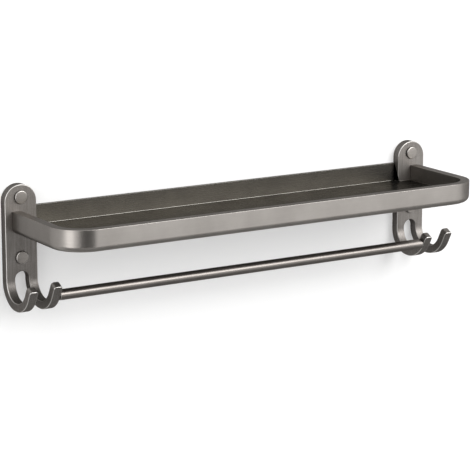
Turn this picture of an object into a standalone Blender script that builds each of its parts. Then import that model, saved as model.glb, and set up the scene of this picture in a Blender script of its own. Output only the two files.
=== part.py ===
# Wall-hung bathroom shelf with a raised rail, a towel bar and a double hook at the foot of each bracket.
# Metres, +Z up. X runs along the shelf, the wall is the plane Y = 0 and the room lies towards -Y.
# The origin is the middle of the back panel's wall side, level with the middle of the front rail.

import math

import bmesh
import bpy
from mathutils import Matrix, Vector

# Driving dimensions.
shelf_length = 0.500
shelf_depth = 0.1242
clearance = 0.0003
edge_round = 0.0008
overrun = 0.002
same_place = 0.00001

# Wall plates of the brackets.
plate_width = 0.0336
plate_thickness = 0.0100
head_margin = 0.0124
slot_width = 0.0150
slot_below_screw = 0.0139

# Hooks: each prong leaves the plate on a back bend, runs flat, then rises on a leaning leg.
hook_thickness = 0.0084
bend_below_slot_top = 0.0078
back_bend_radius = 0.0224
hook_flat = 0.0021
front_bend_radius = 0.0269
front_bend_angle = math.radians(62)
leg_length = 0.0102
right_leg_extra = 0.0027
right_prong_splay = 0.0009
tip_corner_radius = 0.0030

# Front rail.
rail_height = 0.0220
rail_thickness = 0.0095
rail_inset = 0.0076
rail_corner_radius = 0.0350
rail_lower_round = 0.0060
ledge_width = 0.0065
ledge_thickness = 0.0026

# Tray floor and back panel.
floor_thickness = 0.0030
floor_edge_round = 0.0005
panel_thickness = 0.0032
panel_above_rail = 0.0032
panel_foot = 0.0120

# Towel bar: its turned-down ends stand in blind holes in the inboard prongs.
bar_diameter = 0.0107
bar_end_chamfer = 0.0006
bar_seat_share = 0.96
bar_spigot_share = 0.55
bar_spigot_length_share = 0.6

# Wall screws and their caps.
upper_screw_above_rail = 0.0138
lower_screw_below_rail = 0.0242
wall_screw_length = 0.0450
wall_screw_diameter = 0.0044
wall_screw_point = 0.0050
wall_head_diameter = 0.0084
wall_head_height = 0.0026
seat_depth = 0.0050
cap_diameter = 0.0130
cap_height = 0.0022
cap_edge_round = 0.0009
cap_plug_length = 0.0012
cap_wall = 0.0008
wall_screw_play = 0.0006
wall_head_dome_share = 0.35

# Screws that hold the rail and the floor.
rail_screw_diameter = 0.0040
rail_screw_head = 0.0074
rail_screw_length = 0.0220
rail_screw_spacing = 0.0100
floor_screw_diameter = 0.0030
floor_screw_head = 0.0052
floor_screw_bite_share = 0.7
floor_screw_edge = 0.0560
side_screw_reach_share = 0.25
front_floor_screws = 5
side_floor_screws = 1
back_floor_screws = 4
socket_share = 0.5
socket_depth_share = 0.45

# Facets of the round shapes, and the angles that tell a rim or a crease from a smooth stretch.
round_segments = 24
small_segments = 16
corner_steps = 8
tip_steps = 4
round_steps = 2
socket_sides = 6
bend_step = math.radians(9)
rim_angle = math.radians(45)
crease_angle = math.radians(35)
flat_angle = math.radians(1)

# Places worked out from the sizes above.
rail_top = rail_height / 2
rail_bottom = -rail_height / 2
upper_screw_z = rail_top + upper_screw_above_rail
lower_screw_z = rail_bottom - lower_screw_below_rail
plate_top = upper_screw_z + head_margin
slot_top = lower_screw_z - slot_below_screw
bend_start = slot_top - bend_below_slot_top
plate_front = -plate_thickness
plate_centre = shelf_length / 2 - plate_width / 2
plate_inner_side = shelf_length / 2 - plate_width

back_bend_length = back_bend_radius * math.pi / 2
front_bend_start = back_bend_length + hook_flat
front_bend_length = front_bend_radius * front_bend_angle
leg_start = front_bend_start + front_bend_length
hook_bottom = bend_start - back_bend_radius
front_bend_y = -plate_thickness / 2 - back_bend_radius - hook_flat
front_bend_z = hook_bottom + front_bend_radius

rail_outer_x = shelf_length / 2 - rail_inset
rail_inner_x = rail_outer_x - rail_thickness
rail_centre_x = rail_outer_x - rail_thickness / 2
rail_back = plate_front - clearance
rail_inner_y = -shelf_depth + rail_thickness
ledge_top = rail_bottom + ledge_thickness
floor_bottom = ledge_top + clearance

prong_width = (plate_width - slot_width) / 2
bar_radius = bar_diameter / 2
bar_seat_angle = front_bend_angle * bar_seat_share
bar_seat_down = front_bend_start + front_bend_radius * bar_seat_angle
bar_y = front_bend_y - front_bend_radius * math.sin(bar_seat_angle)
bar_z = front_bend_z - front_bend_radius * math.cos(bar_seat_angle)
bar_spigot_radius = hook_thickness / 2 * bar_spigot_share
bar_spigot_length = prong_width * bar_spigot_length_share

wall_hole_diameter = wall_screw_diameter + 2 * wall_screw_play
seat_diameter = wall_head_diameter + 2 * wall_screw_play
seat_floor = plate_front + seat_depth
rail_hole_diameter = rail_screw_diameter + 2 * clearance
floor_hole_diameter = floor_screw_diameter + 2 * clearance
floor_screw_length = ledge_thickness + floor_thickness * floor_screw_bite_share


def clear_scene():
    for item in list(bpy.data.objects):
        bpy.data.objects.remove(item, do_unlink=True)


def make_collection(name):
    collection = bpy.data.collections.new(name)
    bpy.context.scene.collection.children.link(collection)
    return collection


def make_material(name, colour, roughness):
    material = bpy.data.materials.new(name)
    material.use_nodes = True
    shader = material.node_tree.nodes["Principled BSDF"]
    shader.inputs["Base Color"].default_value = (*colour, 1)
    shader.inputs["Metallic"].default_value = 1
    shader.inputs["Roughness"].default_value = roughness
    material.diffuse_color = (*colour, 1)
    return material


def add_object(name, mesh, collection, material=None):
    item = bpy.data.objects.new(name, mesh)
    collection.objects.link(item)
    if material:
        mesh.materials.clear()
        mesh.materials.append(material)
    return item


def mark_cutter(item):
    item.hide_render = True
    item.display_type = "WIRE"
    return item


def flat_outline(points, thickness):
    """Mesh of a flat outline in local XY, extruded evenly to both sides of its plane."""
    curve = bpy.data.curves.new("outline", "CURVE")
    curve.dimensions = "2D"
    curve.fill_mode = "BOTH"
    curve.extrude = thickness / 2
    spline = curve.splines.new("POLY")
    spline.points.add(len(points) - 1)
    for point, (across, along) in zip(spline.points, points):
        point.co = (across, along, 0, 1)
    spline.use_cyclic_u = True
    item = bpy.data.objects.new("outline", curve)
    cutters.objects.link(item)
    graph = bpy.context.evaluated_depsgraph_get()
    mesh = bpy.data.meshes.new_from_object(item.evaluated_get(graph))
    bpy.data.objects.remove(item, do_unlink=True)
    body = bmesh.new()
    body.from_mesh(mesh)
    bmesh.ops.remove_doubles(body, verts=body.verts, dist=same_place)
    bmesh.ops.dissolve_limit(body, angle_limit=flat_angle, verts=body.verts, edges=body.edges)
    bmesh.ops.recalc_face_normals(body, faces=body.faces)
    body.to_mesh(mesh)
    body.free()
    return mesh


def arc(centre, radius, start, end, steps):
    """Points of an arc from the start angle to the end angle, both ends included."""
    points = []
    for step in range(steps + 1):
        angle = start + (end - start) * step / steps
        points.append((centre[0] + radius * math.cos(angle), centre[1] + radius * math.sin(angle)))
    return points


def round_edges(mesh, chosen, width, segments):
    """Rounds the edges that the test picks."""
    body = bmesh.new()
    body.from_mesh(mesh)
    edges = [edge for edge in body.edges if chosen(edge)]
    bmesh.ops.bevel(body, geom=edges, offset=width, segments=segments, profile=0.5,
                    affect="EDGES", clamp_overlap=True, loop_slide=False)
    body.to_mesh(mesh)
    body.free()


def is_rim(edge, height):
    """True for an edge that lies at the given local height between a flat face and a side."""
    at_height = all(abs(corner.co.z - height) < same_place for corner in edge.verts)
    return at_height and edge.calc_face_angle(0) > rim_angle


def finish(item, material):
    """Gives a cut piece its one material and smooth shading up to its creases."""
    item.data.materials.clear()
    item.data.materials.append(material)
    item.data.shade_smooth()
    item.data.set_sharp_from_angle(angle=crease_angle)


def turned(name, profile, steps, collection, material=None):
    """A turned solid round local Z, from (radius, height) points running down the outer side."""
    mesh = bpy.data.meshes.new(name)
    mesh.from_pydata([(radius, 0, height) for radius, height in profile],
                     [(index, index + 1) for index in range(len(profile) - 1)], [])
    item = bpy.data.objects.new(name, mesh)
    cutters.objects.link(item)
    screw = item.modifiers.new("turn", "SCREW")
    screw.steps = steps
    screw.render_steps = steps
    screw.use_merge_vertices = True
    screw.merge_threshold = same_place
    graph = bpy.context.evaluated_depsgraph_get()
    solid = bpy.data.meshes.new_from_object(item.evaluated_get(graph))
    bpy.data.objects.remove(item, do_unlink=True)
    body = bmesh.new()
    body.from_mesh(solid)
    bmesh.ops.remove_doubles(body, verts=body.verts, dist=same_place)
    body.to_mesh(solid)
    body.free()
    return add_object(name, solid, collection, material)


def rod(name, radius, length, steps=small_segments):
    """Cutter: a plain cylinder from local Z = 0 up to its length."""
    profile = [(0, length), (radius, length), (radius, 0), (0, 0)]
    return mark_cutter(turned(name, profile, steps, cutters))


def countersink(name, shank_radius, head_radius, length, steps=small_segments):
    """Cutter: a countersunk hole whose mouth is at local Z = 0 and which runs up +Z."""
    cone = head_radius - shank_radius
    profile = [(0, length), (shank_radius, length), (shank_radius, cone),
               (head_radius + overrun, -overrun), (0, -overrun)]
    return mark_cutter(turned(name, profile, steps, cutters))


def stepped_hole(name, hole_radius, seat_radius, seat, length, steps=small_segments):
    """Cutter: a hole with a wider flat-bottomed seat; its mouth is at local Z = 0 and it runs up +Z."""
    profile = [(0, length), (hole_radius, length), (hole_radius, seat), (seat_radius, seat),
               (seat_radius, -overrun), (0, -overrun)]
    return mark_cutter(turned(name, profile, steps, cutters))


def place(item, location, direction):
    """Moves an object so that its local +Z points along the direction."""
    turn = Vector(direction).to_track_quat("Z", "Y").to_matrix().to_4x4()
    item.matrix_world = Matrix.Translation(location) @ turn


def combine(item, tools, operation="DIFFERENCE"):
    """Applies Boolean cuts or joins to an object, in place."""
    for tool in tools:
        boolean = item.modifiers.new(tool.name, "BOOLEAN")
        boolean.operation = operation
        boolean.solver = "EXACT"
        boolean.object = tool
    bpy.context.view_layer.update()
    graph = bpy.context.evaluated_depsgraph_get()
    mesh = bpy.data.meshes.new_from_object(item.evaluated_get(graph))
    item.modifiers.clear()
    item.data = mesh


def smooth_share(value):
    """Eases from 0 to 1 as the value goes from 0 to 1."""
    share = min(max(value, 0), 1)
    return share * share * (3 - 2 * share)


def hook_point(across, down, offset_share):
    """Place of a point of the flat blank once its foot is bent.

    across is the distance from the plate's centre line, down the distance below the start of the
    bend, and offset_share runs from -0.5 on the blank's room side to 0.5 on its wall side.
    """
    centre_y = -plate_thickness / 2
    if down <= 0:
        y, z, normal = centre_y, bend_start - down, (1, 0)
    elif down <= back_bend_length:
        angle = down / back_bend_radius
        y = centre_y - back_bend_radius * (1 - math.cos(angle))
        z = bend_start - back_bend_radius * math.sin(angle)
        normal = (math.cos(angle), -math.sin(angle))
    elif down <= front_bend_start:
        y = centre_y - back_bend_radius - (down - back_bend_length)
        z, normal = hook_bottom, (0, -1)
    else:
        angle = min((down - front_bend_start) / front_bend_radius, front_bend_angle)
        straight = max(down - leg_start, 0)
        y = front_bend_y - front_bend_radius * math.sin(angle) - straight * math.cos(angle)
        z = front_bend_z - front_bend_radius * math.cos(angle) + straight * math.sin(angle)
        normal = (-math.sin(angle), -math.cos(angle))
    eased = smooth_share(down / back_bend_length)
    thickness = plate_thickness + (hook_thickness - plate_thickness) * eased
    if across > 0:
        across += right_prong_splay * eased
    return Vector((across, y + normal[0] * offset_share * thickness,
                   z + normal[1] * offset_share * thickness))


def blank_outline():
    """Outline of the flat blank: X across, Y upwards, with Y = 0 where the bend starts."""
    half = plate_width / 2
    slot_half = slot_width / 2
    head_y = plate_top - half - bend_start
    slot_y = slot_top - slot_half - bend_start
    left_tip = -(leg_start + leg_length)
    right_tip = left_tip - right_leg_extra
    corner = tip_corner_radius
    quarter = math.pi / 2
    points = arc((0, head_y), half, 0, math.pi, round_segments)
    points += arc((corner - half, left_tip + corner), corner, math.pi, 3 * quarter, tip_steps)
    points += arc((-slot_half - corner, left_tip + corner), corner, -quarter, 0, tip_steps)
    points += arc((0, slot_y), slot_half, math.pi, 0, small_segments)
    points += arc((slot_half + corner, right_tip + corner), corner, math.pi, 3 * quarter, tip_steps)
    points += arc((half - corner, right_tip + corner), corner, -quarter, 0, tip_steps)
    return points


def bend_lines():
    """Distances below the start of the bend at which the blank needs a row of points."""
    back_steps = math.ceil(math.pi / 2 / bend_step)
    front_steps = math.ceil(front_bend_angle / bend_step)
    lines = [back_bend_length * step / back_steps for step in range(back_steps + 1)]
    lines += [front_bend_start + front_bend_length * step / front_steps for step in range(front_steps + 1)]
    return lines


def bracket_holes(centre_x):
    """Cutters for the flat blank: wall screw holes with seats, rail screw countersinks, bar hole."""
    room_face = -plate_thickness / 2
    wall_face = plate_thickness / 2
    holes = []
    for height in (upper_screw_z, lower_screw_z):
        hole = stepped_hole("wall screw hole", wall_hole_diameter / 2, seat_diameter / 2,
                            seat_depth, plate_thickness + overrun)
        place(hole, (0, height - bend_start, room_face), (0, 0, 1))
        holes.append(hole)
    rail_x = math.copysign(rail_centre_x, centre_x) - centre_x
    for height in rail_screw_heights():
        hole = countersink("rail screw hole", rail_hole_diameter / 2,
                           rail_screw_head / 2 + clearance, plate_thickness + overrun)
        place(hole, (rail_x, height - bend_start, wall_face), (0, 0, -1))
        holes.append(hole)
    # The bar's blind hole is drawn taller than round, because bending the foot thins the blank there.
    inboard = math.copysign(1, -centre_x)
    hole = rod("bar hole", bar_spigot_radius + clearance, bar_spigot_length + clearance + overrun)
    hole.data.transform(Matrix.Diagonal((1, plate_thickness / hook_thickness, 1, 1)))
    place(hole, (inboard * (plate_width / 2 + overrun), -bar_seat_down, 0), (-inboard, 0, 0))
    holes.append(hole)
    return holes


def bend_foot(mesh):
    """Bends the two prongs of the drilled blank into hooks and stands the plate up."""
    body = bmesh.new()
    body.from_mesh(mesh)
    bmesh.ops.triangulate(body, faces=body.faces)
    for line in bend_lines():
        geometry = list(body.verts) + list(body.edges) + list(body.faces)
        bmesh.ops.bisect_plane(body, geom=geometry, dist=same_place,
                               plane_co=(0, -line, 0), plane_no=(0, 1, 0))
    for corner in body.verts:
        across, up, offset = corner.co
        corner.co = hook_point(across, -up, offset / plate_thickness)
    bmesh.ops.recalc_face_normals(body, faces=body.faces)
    body.to_mesh(mesh)
    body.free()


def make_bracket(name, centre_x):
    mesh = flat_outline(blank_outline(), plate_thickness)
    rims = (plate_thickness / 2, -plate_thickness / 2)
    round_edges(mesh, lambda edge: any(is_rim(edge, height) for height in rims), edge_round, 1)
    item = add_object(name, mesh, parts, finishes["bracket"])
    combine(item, bracket_holes(centre_x))
    bend_foot(item.data)
    item.data.transform(Matrix.Translation((centre_x, 0, 0)))
    finish(item, finishes["bracket"])
    return item


def rail_screw_heights():
    return (rail_screw_spacing / 2, -rail_screw_spacing / 2)


def band_outline(outer_x, outer_y, outer_radius, width):
    """U-shaped band in plan, open towards the wall, from its outer side and its width."""
    quarter = math.pi / 2
    inner_radius = outer_radius - width
    left = (outer_radius - outer_x, outer_radius - outer_y)
    right = (-left[0], left[1])
    points = [(-outer_x, rail_back)]
    points += arc(left, outer_radius, math.pi, 3 * quarter, corner_steps)
    points += arc(right, outer_radius, -quarter, 0, corner_steps)
    points += [(outer_x, rail_back), (outer_x - width, rail_back)]
    points += arc(right, inner_radius, 0, -quarter, corner_steps)
    points += arc(left, inner_radius, 3 * quarter, math.pi, corner_steps)
    points += [(width - outer_x, rail_back)]
    return points


def make_front_rail():
    outline = band_outline(rail_outer_x, shelf_depth, rail_corner_radius, rail_thickness)
    mesh = flat_outline(outline, rail_height)
    end_y = rail_back - clearance

    def along_band(edge, height):
        middle = (edge.verts[0].co + edge.verts[1].co) / 2
        return is_rim(edge, height) and middle.y < end_y

    def outside(edge):
        middle = (edge.verts[0].co + edge.verts[1].co) / 2
        core_x = rail_outer_x - rail_thickness / 2
        core_y = shelf_depth - rail_thickness / 2
        radius = rail_corner_radius - rail_thickness / 2
        over_x = max(abs(middle.x) - (core_x - radius), 0)
        over_y = max(-middle.y - (core_y - radius), 0)
        if over_x and over_y:
            return math.hypot(over_x, over_y) > radius
        return abs(middle.x) > core_x or -middle.y > core_y

    def lower_outside(edge):
        return along_band(edge, rail_bottom) and outside(edge)

    round_edges(mesh, lower_outside, rail_lower_round, round_steps)
    round_edges(mesh, lambda edge: along_band(edge, rail_top), edge_round, 1)
    item = add_object("front_rail", mesh, parts, finishes["rail"])

    ledge_overlap = edge_round
    ledge_mesh = flat_outline(band_outline(rail_inner_x + ledge_overlap, -rail_inner_y + ledge_overlap,
                                           rail_corner_radius - rail_thickness + ledge_overlap,
                                           ledge_width + ledge_overlap), ledge_thickness)
    ledge = mark_cutter(add_object("rail ledge", ledge_mesh, cutters))
    ledge.location.z = rail_bottom + ledge_thickness / 2
    combine(item, [ledge], "UNION")

    tools = []
    for side in (-1, 1):
        for height in rail_screw_heights():
            hole = rod("rail end hole", rail_hole_diameter / 2,
                       rail_screw_length - plate_thickness + clearance + overrun)
            place(hole, (side * rail_centre_x, rail_back + overrun, height), (0, -1, 0))
            tools.append(hole)
    for location in front_floor_screw_places() + side_floor_screw_places():
        tools.append(floor_screw_hole(location))
    combine(item, tools)
    finish(item, finishes["rail"])
    return item


def spread(count, reach):
    """Evenly spread places from -reach to reach; one place alone is the middle."""
    if count == 1:
        return [0]
    return [reach * (2 * index / (count - 1) - 1) for index in range(count)]


def front_floor_screw_places():
    y = rail_inner_y + ledge_width / 2
    reach = rail_inner_x - floor_screw_edge
    return [(x, y) for x in spread(front_floor_screws, reach)]


def side_floor_screw_places():
    x = rail_inner_x - ledge_width / 2
    middle = (plate_front + rail_inner_y) / 2
    reach = (plate_front - rail_inner_y) * side_screw_reach_share
    return [(side * x, middle + shift) for side in (-1, 1) for shift in spread(side_floor_screws, reach)]


def back_floor_screw_places():
    y = -panel_thickness - panel_foot / 2
    reach = plate_inner_side - floor_screw_edge
    return [(x, y) for x in spread(back_floor_screws, reach)]


def floor_screw_hole(location):
    hole = countersink("floor screw hole", floor_hole_diameter / 2, floor_screw_head / 2 + clearance,
                       floor_screw_length + 2 * clearance)
    place(hole, (*location, rail_bottom), (0, 0, 1))
    return hole


def make_tray_floor():
    quarter = math.pi / 2
    side_x = rail_inner_x - clearance
    front_y = rail_inner_y + clearance
    radius = rail_corner_radius - rail_thickness - clearance
    notch_x = plate_inner_side - clearance
    notch_y = plate_front - clearance
    back_y = -panel_thickness - clearance
    points = [(-side_x, notch_y)]
    points += arc((radius - side_x, front_y + radius), radius, math.pi, 3 * quarter, corner_steps)
    points += arc((side_x - radius, front_y + radius), radius, -quarter, 0, corner_steps)
    points += [(side_x, notch_y), (notch_x, notch_y), (notch_x, back_y)]
    points += [(-notch_x, back_y), (-notch_x, notch_y)]
    mesh = flat_outline(points, floor_thickness)
    round_edges(mesh, lambda edge: is_rim(edge, floor_thickness / 2), floor_edge_round, 1)
    mesh.transform(Matrix.Translation((0, 0, floor_bottom + floor_thickness / 2)))
    item = add_object("tray_floor", mesh, parts, finishes["floor"])
    places = front_floor_screw_places() + side_floor_screw_places() + back_floor_screw_places()
    combine(item, [floor_screw_hole(location) for location in places])
    finish(item, finishes["floor"])
    return item


def make_back_panel():
    top = rail_top + panel_above_rail
    foot_y = -panel_thickness - panel_foot
    outline = [(0, top), (-panel_thickness, top), (-panel_thickness, ledge_top), (foot_y, ledge_top),
               (foot_y, rail_bottom), (0, rail_bottom)]
    length = 2 * (plate_inner_side - clearance)
    mesh = flat_outline(outline, length)

    def top_front(edge):
        at_top = all(abs(corner.co.y - top) < same_place for corner in edge.verts)
        return at_top and all(abs(corner.co.x + panel_thickness) < same_place for corner in edge.verts)

    round_edges(mesh, top_front, edge_round, round_steps)
    turn = Matrix(((0, 0, 1, 0), (1, 0, 0, 0), (0, 1, 0, 0), (0, 0, 0, 1)))
    mesh.transform(turn)
    item = add_object("back_panel", mesh, parts, finishes["panel"])
    combine(item, [floor_screw_hole(location) for location in back_floor_screw_places()])
    finish(item, finishes["panel"])
    return item


def make_towel_bar():
    left_end = -(plate_inner_side - right_prong_splay) + clearance
    right_end = plate_inner_side - clearance
    length = right_end - left_end
    inner = bar_radius - bar_end_chamfer
    right_tip = length + bar_spigot_length
    profile = [(0, right_tip), (bar_spigot_radius, right_tip), (bar_spigot_radius, length), (inner, length),
               (bar_radius, length - bar_end_chamfer), (bar_radius, bar_end_chamfer), (inner, 0),
               (bar_spigot_radius, 0), (bar_spigot_radius, -bar_spigot_length), (0, -bar_spigot_length)]
    item = turned("towel_bar", profile, round_segments, parts, finishes["bar"])
    place(item, (left_end, bar_y, bar_z), (1, 0, 0))
    finish(item, finishes["bar"])
    return item


def make_screw_cap(name, location):
    """Snap cap: a rounded disc on the plate with a hollow plug in the mouth of the screw's seat."""
    radius = cap_diameter / 2
    plug = seat_diameter / 2 - clearance
    bore = plug - cap_wall
    base = clearance
    profile = [(0, base + cap_height)]
    profile += [(radius - cap_edge_round + cap_edge_round * math.sin(angle),
                 base + cap_height - cap_edge_round + cap_edge_round * math.cos(angle))
                for angle in (math.pi / 2 * step / round_steps for step in range(round_steps + 1))]
    profile += [(radius, base), (plug, base), (plug, base - cap_plug_length),
                (bore, base - cap_plug_length), (bore, base), (0, base)]
    item = turned(name, profile, round_segments, parts, finishes["cap"])
    place(item, location, (0, -1, 0))
    finish(item, finishes["cap"])
    return item


def make_wall_screw(name, location):
    """Pan-head screw standing in its seat, head towards the room, point in the wall."""
    head = wall_head_diameter / 2
    shank = wall_screw_diameter / 2
    dome = wall_head_height * wall_head_dome_share
    under = wall_head_height - wall_screw_length
    profile = [(0, wall_head_height), (head - dome, wall_head_height), (head, wall_head_height - dome),
               (head, 0), (shank, 0), (shank, under + wall_screw_point), (0, under)]
    item = turned(name, profile, small_segments, parts, finishes["screw"])
    place(item, location, (0, -1, 0))
    finish(item, finishes["screw"])
    return item


def make_countersunk_screw(name, location, direction, diameter, head_diameter, length):
    """Countersunk screw with a hexagon socket; its flat head is at the location."""
    shank = diameter / 2
    head = head_diameter / 2
    cone = head - shank
    profile = [(0, length), (shank, length), (shank, cone), (head, 0), (0, 0)]
    item = turned(name, profile, small_segments, parts, finishes["screw"])
    place(item, location, direction)
    socket = rod("socket", head * socket_share, head_diameter * socket_depth_share + overrun,
                 socket_sides)
    place(socket, Vector(location) - Vector(direction) * overrun, direction)
    combine(item, [socket])
    finish(item, finishes["screw"])
    return item


clear_scene()
parts = make_collection("wall_shelf_with_towel_bar")
cutters = make_collection("cutters")
finishes = {
    "bracket": make_material("satin gunmetal bracket", (0.27, 0.26, 0.245), 0.42),
    "rail": make_material("brushed gunmetal rail", (0.40, 0.38, 0.36), 0.30),
    "floor": make_material("satin gunmetal floor", (0.25, 0.235, 0.22), 0.28),
    "panel": make_material("satin gunmetal panel", (0.25, 0.235, 0.22), 0.30),
    "bar": make_material("satin gunmetal bar", (0.40, 0.38, 0.36), 0.24),
    "cap": make_material("satin gunmetal cap", (0.30, 0.29, 0.275), 0.34),
    "screw": make_material("zinc-plated steel", (0.62, 0.62, 0.60), 0.30),
}

make_front_rail()
make_tray_floor()
make_back_panel()
make_towel_bar()
for side_name, side in (("left", -1), ("right", 1)):
    make_bracket(side_name + "_bracket", side * plate_centre)
    for level_name, level in (("upper", upper_screw_z), ("lower", lower_screw_z)):
        end_name = "_" + side_name + "_" + level_name
        make_screw_cap("screw_cap" + end_name, (side * plate_centre, plate_front, level))
        make_wall_screw("wall_screw" + end_name, (side * plate_centre, seat_floor - clearance, level))
    for level_name, level in zip(("upper", "lower"), rail_screw_heights()):
        make_countersunk_screw("rail_screw_" + side_name + "_" + level_name,
                               (side * rail_centre_x, -clearance, level), (0, -1, 0),
                               rail_screw_diameter, rail_screw_head, rail_screw_length - 2 * clearance)
floor_screw_rows = (("front", front_floor_screw_places()), ("side", side_floor_screw_places()),
                    ("back", back_floor_screw_places()))
for row_name, row in floor_screw_rows:
    for number, (x, y) in enumerate(row, 1):
        make_countersunk_screw("floor_screw_" + row_name + "_" + str(number),
                               (x, y, rail_bottom + clearance), (0, 0, 1),
                               floor_screw_diameter, floor_screw_head, floor_screw_length)
for leftover in [item for item in bpy.data.meshes if item.users == 0]:
    bpy.data.meshes.remove(leftover)
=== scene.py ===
from math import atan2, ceil, copysign, cos, pi, radians, sin

import bmesh
import bpy
from mathutils import Matrix, Vector


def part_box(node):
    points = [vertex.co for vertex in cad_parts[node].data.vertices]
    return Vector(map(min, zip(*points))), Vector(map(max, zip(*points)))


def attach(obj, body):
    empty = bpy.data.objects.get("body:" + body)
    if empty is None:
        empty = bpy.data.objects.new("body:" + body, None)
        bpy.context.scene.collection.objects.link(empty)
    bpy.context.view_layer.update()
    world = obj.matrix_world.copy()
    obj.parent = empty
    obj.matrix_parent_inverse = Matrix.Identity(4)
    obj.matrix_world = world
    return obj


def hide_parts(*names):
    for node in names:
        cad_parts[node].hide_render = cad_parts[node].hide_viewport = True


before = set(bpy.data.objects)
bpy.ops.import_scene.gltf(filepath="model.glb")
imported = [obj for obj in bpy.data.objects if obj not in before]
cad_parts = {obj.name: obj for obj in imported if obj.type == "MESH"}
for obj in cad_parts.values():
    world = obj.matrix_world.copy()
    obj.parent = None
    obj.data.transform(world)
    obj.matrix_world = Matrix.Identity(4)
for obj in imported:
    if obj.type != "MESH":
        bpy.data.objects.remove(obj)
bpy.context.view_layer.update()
print("frame loaded:", len(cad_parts), "nodes")

mm = 0.001
quarterTurn = pi / 2
towardsRoom, towardsWall, upwards, downwards = (0, -1, 0), (0, 1, 0), (0, 0, 1), (0, 0, -1)
scene = bpy.context.scene


# Small helpers for meshes

def arcPoints(centre, radius, start, end, steps):
    angles = [start + (end - start) * i / steps for i in range(steps + 1)]
    return [Vector((centre[0] + radius * cos(a), centre[1] + radius * sin(a))) for a in angles]


def edgeShareAt(share):
    # how much of the worn, painted-highlight edge colour a rounded edge takes, from 0 where its round
    # begins to 1 along its middle
    return sin(pi * share) ** 2


def roundedCorners(corners, steps):
    # closed outline from (x, y, radius) corners, each rounded by an arc, with its edge shares
    outline, shares = [], []
    count = len(corners)
    for i, (x, y, radius) in enumerate(corners):
        here = Vector((x, y))
        back = (Vector(corners[i - 1][:2]) - here).normalized()
        ahead = (Vector(corners[(i + 1) % count][:2]) - here).normalized()
        if not radius:
            outline.append(here)
            shares.append(0)
            continue
        half = back.angle(ahead) / 2
        bisector = (back + ahead).normalized()
        centre = here + bisector * (radius / sin(half))
        reach = quarterTurn - half
        towardsCorner = atan2(-bisector.y, -bisector.x)
        turn = copysign(reach, back.x * ahead.y - back.y * ahead.x)
        outline += arcPoints(centre, radius, towardsCorner + turn, towardsCorner - turn, steps)
        shares += [edgeShareAt(i / steps) for i in range(steps + 1)]
    return outline, shares


def insetOutline(points, inset):
    # moves every side of an anticlockwise outline inwards by the same distance
    moved = []
    for i, here in enumerate(points):
        before = (here - points[i - 1]).normalized()
        after = (points[(i + 1) % len(points)] - here).normalized()
        inwards = Vector((-after.y, after.x))
        bisector = inwards + Vector((-before.y, before.x))
        moved.append(here + bisector * (inset / bisector.dot(inwards)))
    return moved


def rimProfile(low, high, lowRound, highRound, steps):
    # (inset, height, edge share) up the side of a slab, with both rims rounded
    turns = [(quarterTurn * i / steps, edgeShareAt(i / steps)) for i in range(steps + 1)]
    lowRim = [(lowRound * (1 - sin(a)), low + lowRound * (1 - cos(a)), share) for a, share in turns]
    highRim = [(highRound * (1 - cos(a)), high - highRound * (1 - sin(a)), share) for a, share in turns]
    return lowRim + highRim


def joinRings(body, rings):
    for lower, upper in zip(rings, rings[1:]):
        for i in range(len(lower)):
            j = (i + 1) % len(lower)
            body.faces.new((lower[i], lower[j], upper[j], upper[i]))


def addRing(body, points, shares):
    # a ring of corners that carry their edge shares
    layer = body.verts.layers.float.get("edgeShare") or body.verts.layers.float.new("edgeShare")
    ring = []
    for point, share in zip(points, shares):
        corner = body.verts.new(point)
        corner[layer] = share
        ring.append(corner)
    return ring


def slabBody(outline, profile, place, outlineShares=None):
    # closed slab: the outline at each (inset, height) of the profile, put in space by place
    body = bmesh.new()
    rings = []
    for inset, height, rimShare in profile:
        points = [place(point.x, point.y, height) for point in insetOutline(outline, inset)]
        shares = [max(share, rimShare) for share in outlineShares or [0] * len(outline)]
        rings.append(addRing(body, points, shares))
    joinRings(body, rings)
    body.faces.new(rings[-1])
    body.faces.new(reversed(rings[0]))
    return body


def turnedBody(rows, columns, firstPole, lastPole):
    # closed body turned round local Z: a row is (radius, height), or a function of the angle,
    # and a third number is its edge share
    body = bmesh.new()
    rings = []
    for row in rows:
        points = []
        for i in range(columns):
            angle = 2 * pi * i / columns
            radius, height = row(angle) if callable(row) else row[:2]
            points.append((radius * cos(angle), radius * sin(angle), height))
        share = 0 if callable(row) or len(row) < 3 else row[2]
        rings.append(addRing(body, points, [share] * columns))
    joinRings(body, rings)
    for ring, height in ((rings[0], firstPole), (rings[-1], lastPole)):
        pole = body.verts.new((0, 0, height))
        for i in range(columns):
            body.faces.new((ring[i], ring[(i + 1) % columns], pole))
    return body


def meshObject(name, body):
    # a new object with its faces outwards
    bmesh.ops.recalc_face_normals(body, faces=body.faces)
    mesh = bpy.data.meshes.new(name)
    body.to_mesh(mesh)
    body.free()
    item = bpy.data.objects.new(name, mesh)
    scene.collection.objects.link(item)
    return item


def applyModifiers(item):
    graph = bpy.context.evaluated_depsgraph_get()
    mesh = bpy.data.meshes.new_from_object(item.evaluated_get(graph))
    item.modifiers.clear()
    item.data = mesh
    return item


def drill(item, body, places):
    # cuts one copy of the cutter body at each place, in one exact cut
    cutterMesh = bpy.data.meshes.new("cutter")
    bmesh.ops.recalc_face_normals(body, faces=body.faces)
    body.to_mesh(cutterMesh)
    body.free()
    joined = bmesh.new()
    for place in places:
        copied = cutterMesh.copy()
        copied.transform(place)
        joined.from_mesh(copied)
        bpy.data.meshes.remove(copied)
    cutter = meshObject("cutter", joined)
    cut = item.modifiers.new("holes", "BOOLEAN")
    cut.operation = "DIFFERENCE"
    cut.solver = "EXACT"
    cut.object = cutter
    applyModifiers(item)
    bpy.data.objects.remove(cutter, do_unlink=True)
    return item


def aimed(location, aim):
    # places local Z along the aim
    return Matrix.Translation(location) @ Vector(aim).to_track_quat("Z", "Y").to_matrix().to_4x4()


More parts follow.
